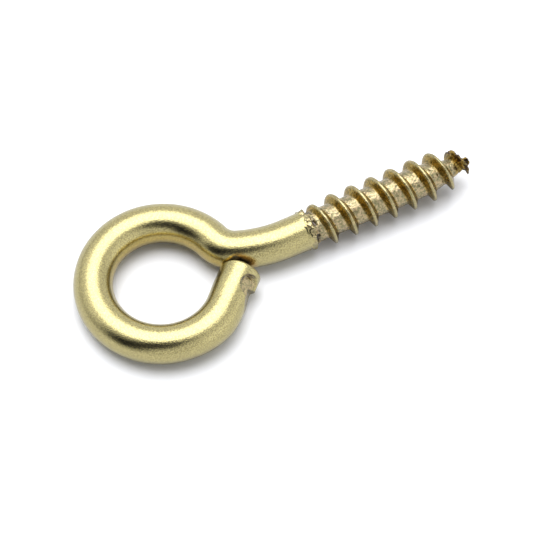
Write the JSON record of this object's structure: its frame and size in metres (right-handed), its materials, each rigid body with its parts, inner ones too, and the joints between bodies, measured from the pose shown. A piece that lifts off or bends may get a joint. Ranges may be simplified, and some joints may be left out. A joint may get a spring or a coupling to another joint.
{
  "type": "screw eye",
  "caption": "Screw eye bent from one piece of brass wire: a closed round eye on a short neck, and a straight shank with a coarse wood thread.",
  "frame": {"origin": "centre of the eye, in the middle of the wire's thickness", "axes": "+X along the shank towards the tip of the thread, +Z along the eye's own axis; the shank's axis lies 0.87 mm towards -Y beside the eye's centre"},
  "size_m": [0.0401, 0.0164, 0.0046],
  "materials": {
    "brass": "satin"
  },
  "bodies": {
    "root": {"screw_eye": "brass"}
  },
  "joints": []
}
